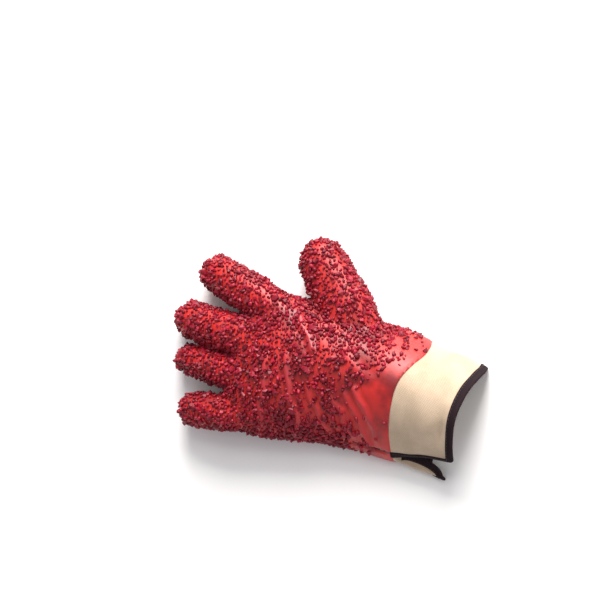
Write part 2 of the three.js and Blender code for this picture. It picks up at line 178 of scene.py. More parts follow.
# the palm's flap stands out at the side, then folds over and runs in under the back's edge
FLAP_FLARE = 4.2
FLAP_SPREAD = 48
TUCK = 0.56
TUCK_SPREAD = 26
TUCK_LENGTH = 9
# the back's edge rolls in and down over its last degrees
ROLL_SPREAD = 11
ROLL_IN = 2.6
ROLL_DOWN = 1.4
ROLL_FROM = 109
ROLL_LENGTH = 18
packed_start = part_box("cuff")[0][0] / MM - TO_FRAME[0]
print("the packed cuff starts", round(packed_start, 2), "mm along, the pattern's at", CUFF_START)


# %% Smooth curves through a table
def smoothstep(value, low, high):
    share = np.clip((value - low) / (high - low), 0, 1)
    return share * share * (3 - 2 * share)


def curve_through(rows):
    """A cubic curve through every column of a table, read at any place of its first column."""
    rows = np.array(rows, float)
    at, values = rows[:, 0], rows[:, 1:]
    last = len(at) - 1

    def read(places):
        t = np.clip(np.asarray(places, float), at[0], at[-1])
        i = np.clip(np.searchsorted(at, t, side="right"), 1, last)
        before = np.where(i > 1, i - 2, i)
        after = np.where(i < last, i + 1, i - 1)
        half_step = (at[i] - at[i - 1]) / 2
        pull_in = (half_step / (at[i - 1] - at[before]))[..., None]
        pull_out = (half_step / (at[after] - at[i]))[..., None]
        p = ((t - at[i - 1]) / (2 * half_step))[..., None]
        rise = values[i] - values[i - 1]
        leaving = pull_in * (values[i - 1] - values[before]) + rise / 2
        arriving = pull_out * (values[after] - values[i]) + rise / 2
        bend = leaving * (1 - p) ** 2 - arriving * p * (1 - p)
        return values[i - 1] + rise * p * p * (3 - 2 * p) + bend * p

    return read


section_at = curve_through(SECTIONS)
slit_at = curve_through(SLIT_EDGES)


def straight_through(rows):
    at, values = np.array(rows, float).T
    return lambda places: np.interp(places, at, values)


hem_at = straight_through(HEM_EDGE)
edge_curve = curve_through(COATING_EDGE)
print("section at the coating's edge:", section_at(110).round(1))


# %% A point of the skin, and the angle of a point
def boxed(value, power):
    return np.sign(value) * np.abs(value) ** power


def unit(vectors):
    """Vectors of length 1 in the same directions."""
    return vectors / np.maximum(np.linalg.norm(vectors, axis=-1, keepdims=True), 1e-12)


def tube_point(x, degrees, offset):
    """Points of the arched tube at angles round it, each an offset out from it."""
    y, half_width, half_depth, arch, base, lean, boxy = np.moveaxis(section_at(x), -1, 0)
    across = boxed(np.cos(np.radians(degrees)), boxy)
    upward = boxed(np.sin(np.radians(degrees)), boxy)
    eta = across * (1 + offset / half_width)
    rise = arch * (1 - eta**2) * (1 + lean * eta)
    slope = arch * (lean * (1 - 3 * eta**2) - 2 * eta) / half_width
    flap = np.clip(1 - ((degrees + 180) / FLAP_SPREAD) ** 2, 0, None) ** 2
    flare = FLAP_FLARE * flap * smoothstep(x, SLIT_APEX, HEM - FLAP_FLARE)
    tucked = smoothstep(-180 - degrees, 0, TUCK_SPREAD) * smoothstep(x, SLIT_APEX, SLIT_APEX + TUCK_LENGTH)
    past_edge = (degrees - slit_at(x)[..., 0]) / ROLL_SPREAD
    curled = np.where(past_edge < 1, np.clip(1 + past_edge, 0, None) ** 2, 0)
    rolled = curled * smoothstep(x, ROLL_FROM, ROLL_FROM + ROLL_LENGTH)
    height = (rise + (half_depth + offset * np.hypot(1, slope)) * upward) * (1 - TUCK * tucked)
    height = np.maximum(base + height - ROLL_DOWN * rolled, COATING - offset)
    return np.stack([x, y + half_width * eta - flare + ROLL_IN * rolled, height], -1)


def skin_point(x, degrees, offset):
    """Points of the skin. The palm's flap doesn't follow the arch, so there the offset is square to it."""
    x, degrees, offset = np.broadcast_arrays(np.asarray(x, float), degrees, offset)
    on_tube = tube_point(x, degrees, offset)
    along = tube_point(x, degrees + 0.5, 0) - tube_point(x, degrees - 0.5, 0)
    outward = unit(np.stack([np.zeros_like(x), along[..., 2], -along[..., 1]], -1))
    on_flap = tube_point(x, degrees, 0) + outward * offset[..., None]
    return np.where((degrees < -180)[..., None], on_flap, on_tube)


def angle_of(points, offset):
    """The angle round the glove of points near its skin, the reverse of skin_point."""
    y, half_width, half_depth, arch, base, lean, boxy = section_at(points[:, 0]).T
    eta = (points[:, 1] - y) / half_width
    across = eta / (1 + offset / half_width)
    rise = arch * (1 - eta**2) * (1 + lean * eta)
    upward = (points[:, 2] - base - rise) / (half_depth + offset)
    return np.degrees(np.arctan2(boxed(upward, 1 / boxy), boxed(across, 1 / boxy)))


def coating_edge_at(degrees):
    return edge_curve(np.where(degrees < -90, degrees + 360, degrees))[..., 0]


trial = skin_point(120, np.array([30.0, 90.0]), 0)
print("angles read back:", angle_of(trial, 0).round(1))


# %% Helpers that make a mesh from arrays
def make_piece(name, points, faces, **marks):
    """A mesh object from points in the pattern's millimetres. A mark is a number or a vector per point."""
    mesh = bpy.data.meshes.new(name)
    mesh.from_pydata(((points + TO_FRAME) * MM).tolist(), [], [list(face) for face in faces])
    for mark, values in marks.items():
        values = np.asarray(values, float)
        kind = "FLOAT" if values.ndim == 1 else "FLOAT_VECTOR"
        layer = mesh.attributes.new(mark, kind, "POINT")
        layer.data.foreach_set("value" if kind == "FLOAT" else "vector", values.ravel())
    mesh.shade_smooth()
    triangles = sum(len(face) - 2 for face in faces)
    print(f"{name}: {len(points)} points, {triangles} triangles")
    return placed(name, mesh)


def normals_of(points, faces):
    """Unit normals at the points of a mesh whose faces are all quads or all triangles."""
    corners = points[faces]
    turn = np.cross(corners[:, 2] - corners[:, 0], corners[:, -1] - corners[:, 1])
    total = np.zeros_like(points)
    for axis in range(3):
        for corner in range(faces.shape[1]):
            total[:, axis] += np.bincount(faces[:, corner], turn[:, axis], len(points))
    return unit(total)


def edges_of(faces):
    """Every edge once, and how many faces each has."""
    pairs = np.concatenate([faces[:, [k, (k + 1) % faces.shape[1]]] for k in range(faces.shape[1])])
    return np.unique(np.sort(pairs, axis=1), axis=0, return_counts=True)


def above_table(points, lowest):
    """The same points, with any that would lie lower raised to the lowest height."""
    return np.hstack([points[:, :2], np.maximum(points[:, 2:], lowest)])


def lengths_along(path):
    """How far along a path each of its points is."""
    return np.concatenate([[0], np.cumsum(np.linalg.norm(np.diff(path, axis=0), axis=1))])


def tube_faces(index):
    """Quads of tubes, from the numbers of their points: the last axis runs round, the one before it along."""
    onward = np.roll(index, -1, axis=-1)
    low, high = index[..., :-1, :], index[..., 1:, :]
    return np.stack([low, high, onward[..., 1:, :], onward[..., :-1, :]], -1).reshape(-1, 4)


# %% [markdown]
# ## The rubber skin
#
# The coating is one skin of rubber from the fingertips to the edge on the canvas, smooth where the fingers
# grow out of the palm. The solid has its form in flat faces. Subdividing would keep the creases between
# fingers and palm, and a cloth simulation would lose the form. So its outer face is closed at the wrist,
# remeshed into small even squares and relaxed, which rounds it as wet rubber does.

# %% The outer face of the solid, closed beyond the coating's edge
RIM_FACING = 0.6
RIM_FROM = 100
EXTENSION = 14
SAME_PLACE = 1e-6


def outer_form(node):
    """The outside of a hollow solid, without its inner wall and rim, drawn out and closed at the wrist."""
    shape = bmesh.new()
    shape.from_mesh(node.data)
    bmesh.ops.remove_doubles(shape, verts=shape.verts, dist=SAME_PLACE)
    rim_from = (RIM_FROM + TO_FRAME[0]) * MM
    rim = [f for f in shape.faces if f.normal.x > RIM_FACING and f.calc_center_median().x > rim_from]
    bmesh.ops.delete(shape, geom=rim, context="FACES")
    found, reached = set(), [max(shape.verts, key=lambda v: v.co.y)]
    while reached:
        vert = reached.pop()
        if vert not in found:
            found.add(vert)
            reached.extend(edge.other_vert(vert) for edge in vert.link_edges)
    bmesh.ops.delete(shape, geom=[v for v in shape.verts if v not in found], context="VERTS")
    wrist = [edge for edge in shape.edges if edge.is_boundary]
    longer = bmesh.ops.extrude_edge_only(shape, edges=wrist)["geom"]
    for vert in [g for g in longer if isinstance(g, bmesh.types.BMVert)]:
        vert.co.x += EXTENSION * MM
    wrist = [edge for edge in shape.edges if edge.is_boundary]
    bmesh.ops.triangle_fill(shape, edges=wrist, use_beauty=True)
    bmesh.ops.recalc_face_normals(shape, faces=shape.faces)
    closed = bpy.data.meshes.new("outer_form")
    shape.to_mesh(closed)
    open_edges = sum(edge.is_boundary for edge in shape.edges)
    print(f"outer face: {len(closed.polygons)} faces, {open_edges} open edges")
    shape.free()
    return closed


form = outer_form(coated_hand)

# %% Remesh it into small even squares
SQUARE = 1.52


def remeshed(mesh, size):
    """The same form as even squares: their points in the pattern's millimetres, and the squares."""
    holder = placed("remesh_holder", mesh)
    step = holder.modifiers.new("remesh", "REMESH")
    step.mode = "VOXEL"
    step.voxel_size = size * MM
    graph = bpy.context.evaluated_depsgraph_get()
    even = bpy.data.meshes.new_from_object(holder.evaluated_get(graph))
    points = np.empty(len(even.vertices) * 3)
    even.vertices.foreach_get("co", points)
    faces = np.empty(len(even.polygons) * 4, int)
    even.polygons.foreach_get("vertices", faces)
    bpy.data.objects.remove(holder)
    bpy.data.meshes.remove(even)
    return points.reshape(-1, 3) / MM - TO_FRAME, faces.reshape(-1, 4)


skin, squares = remeshed(form, SQUARE)
print("skin:", len(skin), "points,", len(squares), "squares")

# %% Relax the skin
RELAX_TURNS = 26
RELAX_SHARE = 0.5


def relaxed(points, faces, turns):
    """Moves each point towards the middle of its neighbours, again and again."""
    edges = edges_of(faces)[0]
    neighbours = np.bincount(edges.ravel(), minlength=len(points))[:, None]
    for _ in range(turns):
        total = np.stack([
            np.bincount(edges[:, 0], points[edges[:, 1], axis], len(points))
            + np.bincount(edges[:, 1], points[edges[:, 0], axis], len(points))
            for axis in range(3)
        ], -1)
        points = points + RELAX_SHARE * (total / neighbours - points)
    return points


before = skin
skin = relaxed(skin, squares, RELAX_TURNS)
moved = np.linalg.norm(skin - before, axis=1).mean()
print(f"the relaxing moved the skin by {moved:.2f} mm on average")

# %% [markdown]
# Near the cuff the coating is stretched smooth over the canvas, so there the skin is laid back on the
# pattern's curves, which have no facets. Elsewhere it is drawn in by half the height of the crumb, because
# the solid's surface runs through the middle of the crumb that is about to be put on it.

# %% Lay the wrist on the pattern, and draw the hand in under its crumb
LAID_FROM = 82
LAID_AT = 92
CRUMB_INSET = 0.75
INSET_FADES_FROM = 72

normals = normals_of(skin, squares)
inset = CRUMB_INSET * (1 - smoothstep(skin[:, 0], INSET_FADES_FROM, LAID_AT))
skin = skin - normals * inset[:, None]
wrist = skin[:, 0] > LAID_FROM
degrees = angle_of(skin[wrist], COATING)
on_pattern = skin_point(skin[wrist, 0], degrees, COATING)
share = smoothstep(skin[wrist, 0], LAID_FROM, LAID_AT)[:, None]
skin[wrist] += share * (on_pattern - skin[wrist])
print(int(wrist.sum()), "points laid on the pattern")

# %% [markdown]
# ## Folds
#
# A dipped glove keeps the folds that it dried with: low rounded ridges with a hollow beside them, from the
# knuckles and the wrist towards the little finger's side. Each is a line with a width and a height, and
# raises the skin by a smooth bump. A sculpted map would look the same, but couldn't be read or changed.

# %% Fold lines
FOLDS = [
    # points of the line seen from above, half width, height
    ([(-12, 4), (-10, -10), (-6, -20), (-8, -35), (-5, -46), (-8, -60)], 2.6, 1.4),
    ([(6, 12), (10, 0), (17, -14), (19, -25), (27, -34), (25, -48)], 2.4, 1.6),
    ([(33, -10), (37, -19), (44, -24), (47, -33), (54, -40)], 2.1, 1.3),
    ([(54, -8), (57, -15), (65, -20), (67, -29), (74, -38)], 2.0, 1.3),
    ([(74, 0), (79, -7), (85, -12), (90, -20), (96, -27), (99, -38)], 2.3, 1.4),
    ([(66, -6), (72, -14), (80, -22), (84, -33), (90, -42)], 1.8, 1.0),
    ([(4, 46), (11, 38), (20, 32), (28, 22)], 2.4, 1.4),
    ([(60, 24), (72, 16), (86, 12)], 3.4, 0.7),
    ([(-22, 58), (-12, 60), (0, 60)], 2.4, 1.0),
]
HOLLOW_BESIDE = 0.45
HOLLOW_AWAY = 2.1
FULL_CREST = 2.0
FOLDS_FADE = (88, 102)
FACING_UP = (0.0, 0.45)
SKIN_LOWEST = 0.15
# points of the crease that runs on from the slit into the hand
CREASE = [(73, -45.5, 18.4), (84, -43.8, 18.6), (92, -44.3, 17.6), (99, -44, 17.6), (108, -43.6, 17.9)]
CREASE_WIDTH = 1.7
CREASE_DEPTH = 2.3
CREASE_FADES = 101
# where the painted shade in the crease fades out
CREASE_SHADE_FADES = 107
FADE_LENGTH = 6


def distance_to_line(points, line):
    """How far points are from a line of straight pieces, in two or three dimensions."""
    line = np.array(line, float)
    nearest = np.inf
    for start, end in zip(line[:-1], line[1:]):
        along = end - start
        place = np.clip((points - start) @ along / (along @ along), 0, 1)
        nearest = np.minimum(nearest, np.linalg.norm(points - start - place[..., None] * along, axis=-1))
    return nearest


def crease_at(points, fades):
    """How deep the crease is at points, fading out past a place along the glove."""
    depth = CREASE_DEPTH * np.exp(-((distance_to_line(points, CREASE) / CREASE_WIDTH) ** 2))
    return depth * (1 - smoothstep(points[..., 0], fades, fades + FADE_LENGTH))


def fold_lift(points, facing_up):
    """How far the folds raise the skin, and how near each point is to a crest, from 0 to 1."""
    lift, crest = np.zeros((2, len(points)))
    for line, width, height in FOLDS:
        away = distance_to_line(points[:, :2], line) / width
        ridge = np.exp(-away * away)
        hollow = np.exp(-((away - HOLLOW_AWAY) ** 2))
        lift += height * (ridge - HOLLOW_BESIDE * hollow)
        crest = np.maximum(crest, ridge * height / FULL_CREST)
    facing_up = facing_up * (1 - smoothstep(points[:, 0], *FOLDS_FADE))
    return lift * facing_up - crease_at(points, CREASE_FADES), crest * facing_up


normals = normals_of(skin, squares)
lift, crest = fold_lift(skin, smoothstep(normals[:, 2], *FACING_UP))
# how deep in the crease each point lies, for the painted shade there
crease_shade = crease_at(skin, CREASE_SHADE_FADES) / CREASE_DEPTH
skin = above_table(skin + normals * lift[:, None], SKIN_LOWEST)
print("folds raise the skin by up to", round(float(lift.max()), 2), "mm")

# %% [markdown]
# ## The coating's edge
#
# The closed form runs past the edge of the coating. The squares beyond the edge are taken away, and the
# points of the new edge moved onto its curve. A boolean cut would leave slivers there. A second layer inside
# then makes the wall, because a glove is hollow. The rubber ends in a thin lip.

# %% Cut at the edge
LIP = 4.0
LIP_THIN = 0.8
WALL = 2.3
EDGE_WALL = 0.35
WALL_GROWS = (2, 40)
TOP = 90.0

# away from the wrist the edge is far off at any angle
degrees = np.full(len(skin), TOP)
degrees[wrist] = angle_of(skin[wrist], COATING)
edge_x = coating_edge_at(degrees)
middle_beyond = (skin[squares, 0] - edge_x[squares]).mean(axis=1)
squares = squares[middle_beyond < 0]
edges, uses = edges_of(squares)
rim_edges = edges[uses == 1]
rim = np.unique(rim_edges)
skin[rim] = skin_point(edge_x[rim], degrees[rim], COATING)
kept = np.unique(squares)
renumber = np.zeros(len(skin), int)
renumber[kept] = np.arange(len(kept))
squares, rim_edges = renumber[squares], renumber[rim_edges]
skin, crest, crease_shade, edge_x = (values[kept] for values in (skin, crest, crease_shade, edge_x))
to_edge = edge_x - skin[:, 0]
outer_normals = normals_of(skin, squares)
skin = skin - outer_normals * (LIP_THIN * (1 - smoothstep(to_edge, 0, LIP)))[:, None]
print("open edge of", len(rim), "points at", skin[:, 0].max().round(1), "mm")

# %% The wall's inner layer, joined at the edge
wall = EDGE_WALL + (WALL - EDGE_WALL) * smoothstep(to_edge, *WALL_GROWS)
inner = skin - outer_normals * wall[:, None]
start, end = rim_edges.T
lip = np.stack([start, end, end + len(skin), start + len(skin)], -1)
# each lip square is turned to agree with the outer face beside it
directed = {(a, b) for k in range(4) for a, b in zip(squares[:, k], squares[:, (k + 1) % 4])}
lip = np.array([quad[::-1] if (quad[0], quad[1]) in directed else quad for quad in lip.tolist()])
hand = make_piece(
    "rubber_coating",
    np.vstack([skin, inner]),
    np.vstack([squares, squares[:, ::-1] + len(skin), lip]),
    crest=np.tile(crest, 2),
    crease=np.tile(crease_shade, 2),
    lining=np.repeat([0, 1], len(skin)),
)

# %% [markdown]
# ## The crumb
#
# Rubber crumb is thrown onto the wet coating and sealed in, so every grain is a different lump, half sunk in
# the skin. Blender's particles would make it too, but say less of where it lies. Here points are thrown at
# random and thinned out where the glove shows bare rubber: on the folds, in patches of the back and before
# the cuff. Those far enough apart are kept, and each gets one of a few dozen lumps, angular or rounded,
# turned and sized at random. The grains are shared out over several pieces, so none gets heavy.

# %% Throw points at the skin
THROWN = 120000
SPACING = 2.8
rng = np.random.default_rng(7)

halves = np.vstack([squares[:, [0, 1, 2]], squares[:, [0, 2, 3]]])
corners = skin[halves]
cross = np.cross(corners[:, 1] - corners[:, 0], corners[:, 2] - corners[:, 0])
area = np.linalg.norm(cross, axis=1) / 2
picked = rng.choice(len(halves), THROWN, p=area / area.sum())
u, v = rng.random((2, THROWN))
over = u + v > 1
u[over], v[over] = 1 - u[over], 1 - v[over]
shares = np.stack([1 - u - v, u, v], -1)
thrown = (corners[picked] * shares[:, :, None]).sum(axis=1)
thrown_normals = (outer_normals[halves[picked]] * shares[:, :, None]).sum(axis=1)
thrown_crest = (crest[halves[picked]] * shares).sum(axis=1)
print("skin area", round(float(area.sum()) / 100), "cm2")

# %% How much crumb lies where
CRUMB_ENDS = [
    # y across the back, x where the last grains are
    (-70, 82), (-48, 88), (-38, 96), (-22, 78), (-8, 80), (4, 90), (14, 100), (28, 111), (38, 117),
    (48, 114), (60, 108),
]
PALM_CRUMB_END = 90
PALM_FACING = -0.2
BACK_FACING = (0.1, 0.5)
THINNING = 34
BARE_PATCHES = [
    # x, y, radius of a part of the back with little crumb, and the share of it that is bare
    (30, -17, 20, 0.62), (55, -20, 18, 0.72), (77, -17, 18, 0.86), (4, -20, 13, 0.35), (16, 30, 9, 0.60),
    (50, 4, 20, 0.42), (38, 24, 10, 0.65), (70, 24, 20, 0.50), (90, 34, 18, 0.50), (12, 4, 16, 0.35),
    (92, -36, 12, 0.60), (-66, 8, 12, 0.30), (-40, 12, 12, 0.35), (-78, 64, 12, 0.35), (-45, 46, 12, 0.35),
    (-62, -40, 12, 0.35),
]
UNEVEN = 0.3
BAREST_PATCH = 0.97
CREST_BARE = 1.1
BAREST_CREST = 0.9
# how many waves make a random field, and how fine they are, in radians per mm
PATCH_WAVES, PATCH_FINENESS = 9, 0.16
CLUMP_WAVES, CLUMP_FINENESS = 16, 0.55
FIELD_REACH = 1.6
CLUMP_SOFT = 0.16
LEAST_KEPT = 0.35


def patchiness(points, count, fineness):
    """A smooth random field over the glove, from about -1 to 1."""
    waves = rng.normal(0, fineness, (count, 3))
    turns = rng.uniform(0, 2 * math.pi, count)
    return np.sin(points @ waves.T + turns).sum(axis=1) / math.sqrt(count / 2) / FIELD_REACH


back_end = straight_through(CRUMB_ENDS)(thrown[:, 1])
crumb_end = np.where(thrown_normals[:, 2] > PALM_FACING, back_end, PALM_CRUMB_END)
coverage = smoothstep(crumb_end - thrown[:, 0], 0, THINNING)
near_end = 1 - coverage
on_back = smoothstep(thrown_normals[:, 2], *BACK_FACING)
patches = patchiness(thrown, PATCH_WAVES, PATCH_FINENESS)
for x, y, radius, bare in BARE_PATCHES:
    near = np.exp(-((thrown[:, 0] - x) ** 2 + (thrown[:, 1] - y) ** 2) / radius**2)
    coverage *= 1 - on_back * near * np.clip(bare + UNEVEN * patches, 0, BAREST_PATCH)
coverage *= 1 - np.clip(CREST_BARE * thrown_crest, 0, BAREST_CREST)
# where the crumb is thin it clings together in clumps, so a fine field decides which places stay bare
clumps = np.argsort(np.argsort(patchiness(thrown, CLUMP_WAVES, CLUMP_FINENESS))) / THROWN
in_clump = smoothstep(clumps + (1 + 2 * CLUMP_SOFT) * coverage, 1 - CLUMP_SOFT / 2, 1 + CLUMP_SOFT)
wanted = rng.random(THROWN) < in_clump * (LEAST_KEPT + (1 - LEAST_KEPT) * coverage)
print("wanted", int(wanted.sum()), "of", THROWN)


# %% Keep points that are far enough apart
def spread_out(points, spacing):
    """Indices of points that are at least the spacing from every kept one before them."""
    cells, kept = {}, []
    nearby = [(i - 1, j - 1, k - 1) for i, j, k in np.ndindex(3, 3, 3)]
    places = np.floor(points / spacing).astype(int).tolist()
    for index, (point, (i, j, k)) in enumerate(zip(points.tolist(), places)):
        others = (cells.get((i + di, j + dj, k + dk), ()) for di, dj, dk in nearby)
        if all(math.dist(point, other) >= spacing for cell in others for other in cell):
            cells.setdefault((i, j, k), []).append(point)
            kept.append(index)
    return np.array(kept)


chosen = np.flatnonzero(wanted)
kept_grains = chosen[spread_out(thrown[chosen], SPACING)]
grain_places, grain_normals = thrown[kept_grains], unit(thrown_normals[kept_grains])
print(len(grain_places), "grains")

# %% Faceted lumps
LUMP_KINDS = 40
ROUNDED_KINDS = 14
LUMP_CORNERS = 13
LUMP_ROUGHNESS = 0.2
LUMP_STRETCH = (0.6, 1.25)


def lump():
    """A rough lump of radius 1 or so: the hull of points spread over a ball and pushed about."""
    turns = np.arange(LUMP_CORNERS) + 0.5
    height = 1 - 2 * turns / LUMP_CORNERS
    golden = math.pi * (1 + math.sqrt(5)) * turns
    ring = np.sqrt(1 - height**2)
    ball = np.stack([ring * np.cos(golden), ring * np.sin(golden), height], -1)
    ball += rng.normal(0, LUMP_ROUGHNESS, ball.shape)
    ball *= rng.uniform(*LUMP_STRETCH, 3)
    shape = bmesh.new()
    for corner in ball:
        shape.verts.new(corner)
    bmesh.ops.convex_hull(shape, input=shape.verts)
    bmesh.ops.delete(shape, geom=[v for v in shape.verts if not v.link_faces], context="VERTS")
    bmesh.ops.recalc_face_normals(shape, faces=shape.faces)
    shape.verts.index_update()
    points = np.array([v.co for v in shape.verts])
    faces = np.array([[v.index for v in face.verts] for face in shape.faces])
    shape.free()
    return points, faces


lumps = [lump() for _ in range(LUMP_KINDS)]
print("a lump has about", round(np.mean([len(faces) for _, faces in lumps])), "faces")


# %% Put a lump at every point
GRAIN_RADIUS = 1.8
GRAIN_SPREAD = 0.24
GRAIN_RISE = 0.3
GRAIN_SINK = 0.35
GRAIN_LIMITS = (0.62, 1.55)
GRAIN_GROUPS = 4
LUMP_LOWEST = 0.02


def turns_at_random(count):
    """Random rotation matrices, from random quaternions."""
    w, x, y, z = unit(rng.normal(size=(count, 4))).T
    cross = np.stack([0 * w, -z, y, z, 0 * w, -x, -y, x, 0 * w], -1).reshape(-1, 3, 3)
    return np.eye(3) + 2 * w[:, None, None] * cross + 2 * cross @ cross


count = len(grain_places)
sizes = GRAIN_RADIUS * np.clip(np.exp(rng.normal(0, GRAIN_SPREAD, count)), *GRAIN_LIMITS)
rotations = turns_at_random(count)
kinds = rng.integers(0, LUMP_KINDS, count)
tints = rng.random(count)
# the last grains before the cuff are sunk deeper in the wet rubber
sunk = near_end[kept_grains]
centres = grain_places + grain_normals * ((GRAIN_RISE - GRAIN_SINK * sunk) * sizes)[:, None]


def crumb_piece(name, members):
    """One mesh of many grains. The rounded kinds are shaded smooth, the others keep flat faces."""
    points, faces, tint, rounded, start = [], [], [], [], 0
    for index in members:
        shape, hull = lumps[kinds[index]]
        rounded.append(np.full(len(hull), kinds[index] < ROUNDED_KINDS))
        points.append(shape @ rotations[index].T * sizes[index] + centres[index])
        faces.append(hull + start)
        tint.append(np.full(len(shape), tints[index]))
        start += len(shape)
    points = above_table(np.concatenate(points), LUMP_LOWEST)
    piece = make_piece(name, points, np.concatenate(faces), tint=np.concatenate(tint))
    piece.data.polygons.foreach_set("use_smooth", np.concatenate(rounded))
    return piece


groups = np.array_split(np.argsort(grain_places[:, 0]), GRAIN_GROUPS)
crumb = [crumb_piece(f"crumb_{i + 1}", members) for i, members in enumerate(groups)]

# %% [markdown]
# ## The canvas cuff
#
# The cuff is a sleeve of heavy cotton duck with a slit. Cloth simulation is the usual way, but this canvas
# is stiff and its form is known, so it is drawn from the pattern as a fine grid with the canvas's thickness.
# Near the slit the grid follows the two edges, and at the hem the two corners are rounded. Gentle waves keep
# it from looking like sheet metal.

# %% Walking along the skin
WALK_STEP = 1.0
# what belongs to the slit's two edges: the way in from them, and the angle from where columns run straight
BACK, PALM = 0, 1
INWARDS = (-1, 1)
STRAIGHT_FROM = (90, -150)


def walk(x, degrees, distance):
    """The angles reached by walking distances along the skin at places x, from angles."""
    x, at, distance = np.broadcast_arrays(np.asarray(x, float), degrees, distance)
    steps = max(1, math.ceil(np.abs(distance).max() / WALK_STEP))
    for _ in range(steps):
        one_degree = tube_point(x, at + 0.5, 0) - tube_point(x, at - 0.5, 0)
        at = at + distance / steps / np.linalg.norm(one_degree, axis=-1)
    return at


def in_from_edge(x, side, distance):
    """Angles at a distance in from an edge of the slit."""
    return walk(x, slit_at(x)[..., side], INWARDS[side] * np.asarray(distance, float))


def along_slit(x, degrees):
    """Columns near the slit follow its two edges. Past these angles they run straight."""
    result = np.broadcast_to(degrees, x.shape)
    for side, straight in enumerate(STRAIGHT_FROM):
        near = (straight - result) * INWARDS[side] > 0
        share = (result - straight) / (in_from_edge(HEM, side, CORNER) - straight)
        follows = straight + share * (in_from_edge(x, side, CORNER) - straight)
        result = np.where(near, follows, result)
    return result


print(f"the slit is {360 - np.ptp(slit_at(HEM)):.0f} degrees wide at the hem")

# %% Columns of the cuff, from one edge of the slit round to the other
CORNER_COLUMNS = 12
HEM_COLUMNS = 230

# how far in each corner column is, and how far short of the hem, as shares of the corner's radius
corner_in = 1 - np.cos(np.linspace(0, math.pi / 2, CORNER_COLUMNS))
corner_short = 1 - np.sqrt(1 - (1 - corner_in) ** 2)
hem_ends = [float(in_from_edge(HEM, side, CORNER)) for side in (BACK, PALM)]
hem_degrees = np.linspace(*hem_ends, HEM_COLUMNS)[1:-1]
corner_hems = hem_at(slit_at(HEM))
columns = len(hem_degrees) + 2 * CORNER_COLUMNS
print(columns, "columns, the hem's from", round(hem_ends[0]), "to", round(hem_ends[1]), "degrees")


# %% Rows of the cuff, and its waves
CLOSED_ROWS = 4
SLIT_ROWS = 48
closed_rows = np.linspace(CUFF_START, SLIT_APEX, CLOSED_ROWS, endpoint=False)
cuff_rows = np.concatenate([closed_rows, np.linspace(SLIT_APEX, HEM, SLIT_ROWS)])
CUFF_WAVES = [
    # height, radians per mm along and across, radians at the start
    (0.35, 0.16, 0.11, 0),
    (0.25, -0.07, 0.21, 1.3),
]
WAVES_GROW = (120, 134)
CUFF_DENTS = [
    # x, y, length, width and depth of a dent in the back of the cuff
    (157, -14, 3.2, 10, 1.6),
    (134, -16, 3, 16, 0.5),
    (146, 20, 14, 6, 0.4),
    (128, 30, 4, 14, 0.4),
]
DENTS_ABOVE = 20
# the canvas gives way more than the coating over it, by this share, and a little farther along
CANVAS_CREASE = 1.4
CANVAS_CREASE_FADES = 103
CLEAR_OF_TABLE = (2.0, 8.0)


def cuff_wave(points):
    """Low waves and dents of the canvas, fading out towards the coating that holds it."""
    x, y, z = np.moveaxis(points, -1, 0)
    wave = sum(height * np.sin(x * along + y * across + start) for height, along, across, start in CUFF_WAVES)
    for dent_x, dent_y, length, width, depth in CUFF_DENTS:
        dent = np.exp(-(((x - dent_x) / length) ** 2) - ((y - dent_y) / width) ** 2)
        wave -= depth * dent * (z > DENTS_ABOVE)
    return wave * smoothstep(x, *WAVES_GROW) - CANVAS_CREASE * crease_at(points, CANVAS_CREASE_FADES)


def cuff_skin(x, degrees, offset):
    """The skin with its waves, which are the same for every layer, so the layers stay apart."""
    surface = skin_point(x, degrees, 0)
    outward = skin_point(x, degrees, 1) - surface
    free = smoothstep(surface[..., 2], *CLEAR_OF_TABLE)
    return skin_point(x, degrees, offset) + outward * (cuff_wave(surface) * free)[..., None]


def cuff_places():
    """Places along the glove and angles round it of the grid's points."""
    ends = np.concatenate([
        corner_hems[BACK] - corner_short * CORNER,
        hem_at(hem_degrees),
        corner_hems[PALM] - corner_short[::-1] * CORNER,
    ])
    share = (cuff_rows[:, None] - SLIT_APEX) / (HEM - SLIT_APEX)
    x = np.where(share > 0, SLIT_APEX + (ends - SLIT_APEX) * share, cuff_rows[:, None])
    back_x, hem_x, palm_x = np.split(x, [CORNER_COLUMNS, len(ends) - CORNER_COLUMNS], axis=1)
    return x, np.hstack([
        in_from_edge(back_x, BACK, corner_in * CORNER),
        along_slit(hem_x, hem_degrees),
        in_from_edge(palm_x, PALM, corner_in[::-1] * CORNER),
    ])


cuff_x, cuff_degrees = cuff_places()
outside, inside = (cuff_skin(cuff_x, cuff_degrees, offset) for offset in (0.0, -CANVAS))
for layer in (outside, inside):
    layer[: CLOSED_ROWS + 1, -1] = layer[: CLOSED_ROWS + 1, 0]
print("cuff grid", outside.shape[:2])


# %% Join the two layers of the canvas
def sheet_of(outside, inside):
    """A closed wall between two grids of points: both faces and the four edges."""
    rows, across = outside.shape[:2]
    index = np.arange(rows * across).reshape(rows, across)
    top = np.stack([index[:-1, :-1], index[1:, :-1], index[1:, 1:], index[:-1, 1:]], -1).reshape(-1, 4)
    under = rows * across
    border = np.hstack([index[0, :], index[1:, -1], index[-1, -2::-1], index[-2:0:-1, 0]])
    onward = np.roll(border, -1)
    edge = np.stack([border, onward, onward + under, border + under], -1)
    faces = np.vstack([top, top[:, ::-1] + under, edge])
    return np.vstack([outside.reshape(-1, 3), inside.reshape(-1, 3)]), faces


